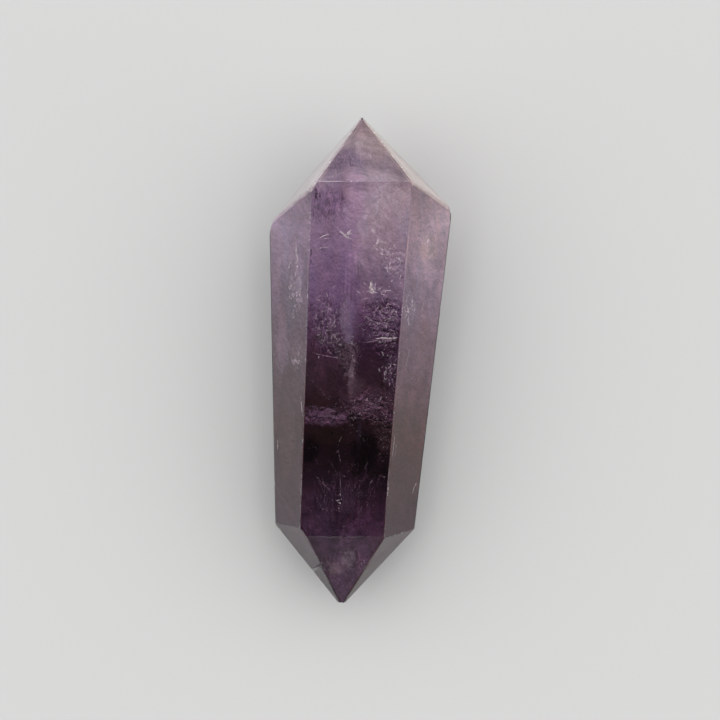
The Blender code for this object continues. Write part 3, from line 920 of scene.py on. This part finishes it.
dark_thread = thread_skin("dark_thread", (0.05, 0.02, 0.05), 0.9)
pits = (
    (-6.9, 27.3, -6.6, 26.4, -6.8, 25.2, 0.5, 0.5),
    (-6.3, 26.6, -6.0, 26.0, -6.2, 25.4, 0.9, 0.3),
    (-2.7, 26.4, -2.4, 25.9, -2.6, 25.3, 0.8, 0.42),
    (-7.1, 23.6, -7.0, 22.8, -7.1, 22.0, 0.4, 0.2),
    (-7.3, 17.6, -7.1, 16.9, -7.3, 16.2, 0.4, 0.34),
    (-7.3, 15.9, -7.0, 15.4, -7.2, 15.0, 0.4, 0.3),
    (-7.4, 8.2, -7.2, 7.6, -7.4, 7.0, 0.4, 0.26),
    (-7.4, 2.0, -7.1, 1.4, -7.3, 0.8, 0.4, 0.3),
    (0.1, -9.1, 0.4, -9.4, 0.9, -9.3, 0.9, 0.34),
    (-0.3, -8.8, 0.0, -9.0, 0.2, -8.7, 0.9, 0.24),
    (0.9, -8.9, 1.2, -9.2, 1.5, -9.0, 0.9, 0.26),
    (0.5, 7.6, 1.1, 7.0, 1.9, 7.4, 1.0, 0.42),
    (0.2, 5.6, 0.8, 5.2, 1.4, 5.9, 1.0, 0.5),
    (2.6, 8.9, 3.2, 8.6, 3.9, 9.0, 1.0, 0.36),
)
threads("dark_threads", (strokes(15, pits),), dark_thread)

# Sparks: flat cracks in the stone, the size of a pinhead or less. Each is a mirror film that flashes when it
# faces the light.
SPARK_SEED = 40
SPARK_CORNERS = 6


def sparks(name, groups, material):
    """Uneven six-cornered flakes, each at its own place and tilt. A group is a middle, a spread, a number, a
    size and a range of depth."""
    chance = np.random.default_rng(SPARK_SEED)
    flakes = []
    for middle, spread, count, size, down in groups:
        place = np.array(middle) + np.array(spread) * chance.normal(0, 0.5, (count, 2))
        surface = surface_over(0, place[:, 0], place[:, 1])
        out = np.maximum(surface - chance.uniform(*down, count), above_films(0, place[:, 0], surface))
        start = np.concatenate([place, out[:, None]], 1)
        frames = np.linalg.qr(chance.normal(0, 1, (count, 3, 3)) * [0.5, 0.5, 1.0])[0]
        even = np.linspace(0, 2 * np.pi, SPARK_CORNERS, endpoint=False)[None]
        corner = even + chance.uniform(-0.3, 0.3, (count, SPARK_CORNERS))
        far = size * chance.uniform(0.3, 1.0, (count, SPARK_CORNERS)) * chance.uniform(0.3, 1.3, (count, 1))
        flat = np.stack([np.cos(corner) * far, np.sin(corner) * far * 0.6, 0 * far], 2)
        flakes.append(start[:, None, :] + flat @ frames)
    points = np.concatenate(flakes).reshape(-1, 3)
    faces = np.arange(len(points)).reshape(-1, SPARK_CORNERS)
    grown_inside(name, points, faces, np.full((len(points), 2), 0.5), material)


crack_mirror, tree, shader = new_material("crack_mirror")
shader.inputs["Base Color"].default_value = (0.98, 0.92, 0.93, 1.0)
shader.inputs["Metallic"].default_value = 1.0
shader.inputs["Roughness"].default_value = 0.3
spark_groups = (
    ((2.8, 11.7), (0.7, 0.7), 16, 0.24, (0.5, 2.0)),
    ((4.5, 11.4), (2.0, 0.8), 30, 0.15, (0.5, 2.5)),
    ((5.6, 6.6), (4.0, 4.0), 110, 0.1, (0.5, 4.0)),
    ((-4.6, 5.6), (3.4, 4.0), 90, 0.09, (0.5, 4.0)),
    ((-3.6, 3.6), (1.8, 1.0), 34, 0.11, (0.5, 3.0)),
    ((0.0, 1.0), (1.6, 5.0), 60, 0.08, (0.5, 3.0)),
    ((6.8, -1.5), (1.0, 5.5), 70, 0.12, (0.5, 3.0)),
    ((0.6, -9.2), (1.3, 0.9), 30, 0.13, (0.5, 3.0)),
    ((5.9, -11.0), (1.6, 4.4), 110, 0.11, (0.4, 1.6)),
    ((3.6, -32.6), (0.8, 0.5), 14, 0.16, (0.35, 0.6)),
    ((-3.4, -33.0), (0.5, 0.6), 10, 0.14, (0.35, 0.6)),
    ((-1.1, -22.6), (0.35, 1.9), 28, 0.14, (0.8, 2.5)),
    ((-1.4, -18.4), (0.6, 0.8), 12, 0.08, (0.8, 2.5)),
    ((-5.6, -14.3), (0.9, 0.3), 4, 0.13, (0.6, 1.2)),
    ((0.0, -20.0), (6.0, 8.0), 80, 0.06, (0.5, 6.0)),
    ((0.0, -34.0), (2.5, 3.5), 40, 0.09, (0.5, 3.0)),
    ((0.0, 5.0), (8.0, 30.0), 140, 0.05, (0.5, 8.0)),
)
sparks("crack_sparks", spark_groups, crack_mirror)

# The floor: a wide, plain, pale surface. It lies a hair below the stone, so that the two don't touch, and is
# no part of the object.
FLOOR_REACH = 2.0
FLOOR_DROP = 0.15 * MM
FLOOR_GREY = (0.455, 0.455, 0.453, 1.0)
floor_mesh = bpy.data.meshes.new("floor")
corners = [(x * FLOOR_REACH, y * FLOOR_REACH, -FLOOR_DROP) for x, y in ((-1, -1), (1, -1), (1, 1), (-1, 1))]
floor_mesh.from_pydata(corners, [], [(0, 1, 2, 3)])
floor_paint, tree, shader = new_material("pale_floor")
shader.inputs["Base Color"].default_value = FLOOR_GREY
shader.inputs["Roughness"].default_value = 0.9
shader.inputs["Specular IOR Level"].default_value = 0.0
floor = new_piece("floor", floor_mesh, floor_paint)

# The light: a pale room with a bright ceiling, slightly darker walls and a dim wall beyond the narrow point,
# and a dark patch overhead where the camera is.
LIGHT_STRENGTH = 2.0
WALL = (0.86, 0.85, 0.84)
WALL_TOP = 0.35
CEILING = (1.0, 1.0, 1.0)
CEILING_RIM = 0.65
CAMERA_PATCH = (0.0, -0.15, 0.989)
PATCH_RIM = 0.935
PATCH_MIDDLE = 0.978
PATCH_SHADE = 0.028
DIM_WALL = 0.2
DIM_WALL_MIDDLE = -0.9
DIM_WALL_RIM = -0.3
world = bpy.data.worlds.new("studio")
world.use_nodes = True
sky = world.node_tree
direction = node(sky, "TexCoord").outputs["Generated"]
elevation = node(sky, "SeparateXYZ", {"Vector": direction}).outputs["Z"]
room = ramp(sky, elevation, ((0.0, WALL), (WALL_TOP, WALL), (CEILING_RIM, CEILING)))
northing = node(sky, "SeparateXYZ", {"Vector": direction}).outputs["Y"]
off_dim_wall = rise(sky, northing, DIM_WALL_MIDDLE, DIM_WALL_RIM)
room = mix(sky, 1.0, room, ramp(sky, off_dim_wall, ((0.0, DIM_WALL), (1.0, 1.0))), "MULTIPLY")
near_patch = node(sky, "VectorMath", {0: direction, 1: CAMERA_PATCH}, operation="DOT_PRODUCT")
patch = rise(sky, near_patch.outputs["Value"], PATCH_RIM, PATCH_MIDDLE)
shade = mix(sky, patch, room, (PATCH_SHADE, PATCH_SHADE, PATCH_SHADE))
sky.links.new(shade, sky.nodes["Background"].inputs["Color"])
sky.nodes["Background"].inputs["Strength"].default_value = LIGHT_STRENGTH
bpy.context.scene.world = world

# The camera looks down on the crystal, square to its axis, and shows it as long, as far off the middle and
# leaning as much as the photograph does.
LENGTH_IN_PIXELS = 485.9
PIXELS_RIGHT = 8.25
PIXELS_DOWN = 0.25
PIXEL = 2 * HALF_LENGTH / LENGTH_IN_PIXELS * MM
LEAN = math.radians(2.406)
CAMERA_DISTANCE = 420.0 * MM
PICTURE_SIDE = 720
SENSOR = 36.0
right = Vector((math.cos(LEAN), math.sin(LEAN), 0.0))
up = Vector((-math.sin(LEAN), math.cos(LEAN), 0.0))
look_at = right * (PIXELS_RIGHT * PIXEL) - up * (PIXELS_DOWN * PIXEL)
camera_data = bpy.data.cameras.new("camera")
camera_data.sensor_width = SENSOR
camera_data.lens = SENSOR * CAMERA_DISTANCE / (PICTURE_SIDE * PIXEL)
camera_data.clip_start = 0.01
camera = bpy.data.objects.new("camera", camera_data)
bpy.context.scene.collection.objects.link(camera)
turn = Matrix((right, up, Vector((0.0, 0.0, 1.0)))).transposed().to_4x4()
camera.matrix_world = AXIS_FRAME @ Matrix.Translation(look_at + Vector((0.0, 0.0, CAMERA_DISTANCE))) @ turn
bpy.context.scene.camera = camera

# Light passes many clouded skins on its way through the stone, so it may pass and bounce often. The picture
# keeps plain colours.
scene = bpy.context.scene
scene.cycles.transparent_max_bounces = 64
scene.cycles.max_bounces = 24
scene.cycles.transmission_bounces = 24
scene.cycles.glossy_bounces = 12
scene.view_settings.view_transform = "Standard"
